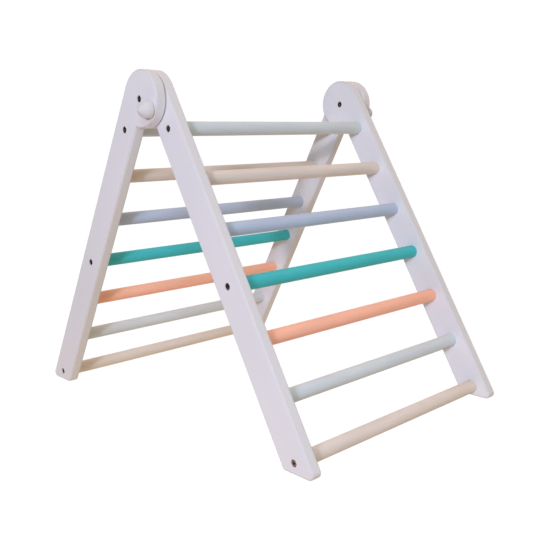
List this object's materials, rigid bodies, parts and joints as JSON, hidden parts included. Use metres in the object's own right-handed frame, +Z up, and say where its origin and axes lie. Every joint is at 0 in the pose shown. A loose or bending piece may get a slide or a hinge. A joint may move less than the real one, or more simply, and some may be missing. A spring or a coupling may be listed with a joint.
{
  "type": "folding climbing triangle",
  "caption": "Folding A-frame climbing triangle for small children: rung ladders that pivot at their round heads and are clamped open by lock knobs.",
  "frame": {"origin": "on the floor, under the pivot axis and midway between the sides", "axes": "+X towards the inner ladder's feet, +Y across the ladders from the near to the far side, +Z up"},
  "size_m": [0.8634, 0.675, 0.7071],
  "materials": {
    "white_paint": "white water-based satin paint on solid birch",
    "mint_paint": "pale grey-green satin stain, grain just showing",
    "cream_paint": "cream satin stain, grain just showing",
    "lavender_paint": "grey-lilac satin stain",
    "teal_paint": "teal satin stain",
    "coral_paint": "coral satin stain",
    "bronzed_steel": "antique bronze plating, worn bright at the sockets",
    "zinc_steel": "zinc plated",
    "nylon": "natural nylon"
  },
  "bodies": {
    "outer_ladder": {"outer_rail_near": "white_paint", "outer_rail_far": "white_paint", "outer_rung_1": "mint_paint", "outer_rung_2": "cream_paint", "outer_rung_3": "lavender_paint", "outer_rung_4": "teal_paint", "outer_rung_5": "coral_paint", "outer_rung_6": "mint_paint", "outer_rung_7": "cream_paint", "outer_screws_near": "bronzed_steel", "outer_screws_far": "bronzed_steel", "pivot_bolt_near": "bronzed_steel", "pivot_bolt_far": "bronzed_steel", "pivot_sleeve_near": "bronzed_steel", "pivot_sleeve_far": "bronzed_steel", "slide_washer_near": "nylon", "lock_insert_near": "zinc_steel", "slide_washer_far": "nylon", "lock_insert_far": "zinc_steel"},
    "inner_ladder": {"inner_rail_near": "white_paint", "inner_rail_far": "white_paint", "inner_rung_1": "mint_paint", "inner_rung_2": "cream_paint", "inner_rung_3": "lavender_paint", "inner_rung_4": "teal_paint", "inner_rung_5": "coral_paint", "inner_rung_6": "mint_paint", "inner_rung_7": "cream_paint", "inner_screws_near": "bronzed_steel", "inner_screws_far": "bronzed_steel"},
    "lock_washer_near": {"lock_washer_near": "nylon"},
    "lock_knob_near": {"lock_knob_near": "white_paint", "lock_stud_near": "zinc_steel"},
    "lock_washer_far": {"lock_washer_far": "nylon"},
    "lock_knob_far": {"lock_knob_far": "white_paint", "lock_stud_far": "zinc_steel"}
  },
  "joints": [
    {"name": "fold", "type": "hinge", "parent": "outer_ladder", "child": "inner_ladder", "pos_m": [0, 0, 0.65049], "axis": [0, 1, 0], "range_deg": [0, 54]},
    {"name": "lock_travel_near", "type": "slide", "parent": "outer_ladder", "child": "lock_washer_near", "axis": [0, -1, 0], "range_m": [0, 0.00375]},
    {"name": "lock_turn_near", "type": "hinge", "parent": "lock_washer_near", "child": "lock_knob_near", "pos_m": [0.03587, -0.312, 0.62863], "axis": [0, -1, 0], "range_deg": [0, 1080]},
    {"name": "lock_travel_far", "type": "slide", "parent": "outer_ladder", "child": "lock_washer_far", "axis": [0, 1, 0], "range_m": [0, 0.00375]},
    {"name": "lock_turn_far", "type": "hinge", "parent": "lock_washer_far", "child": "lock_knob_far", "pos_m": [0.03587, 0.312, 0.62863], "axis": [0, 1, 0], "range_deg": [0, 1080]}
  ],
  "couplings": [
    {"joint": "lock_turn_near", "follows": "lock_travel_near", "rad_per_m": 5026.5},
    {"joint": "lock_turn_far", "follows": "lock_travel_far", "rad_per_m": 5026.5}
  ]
}
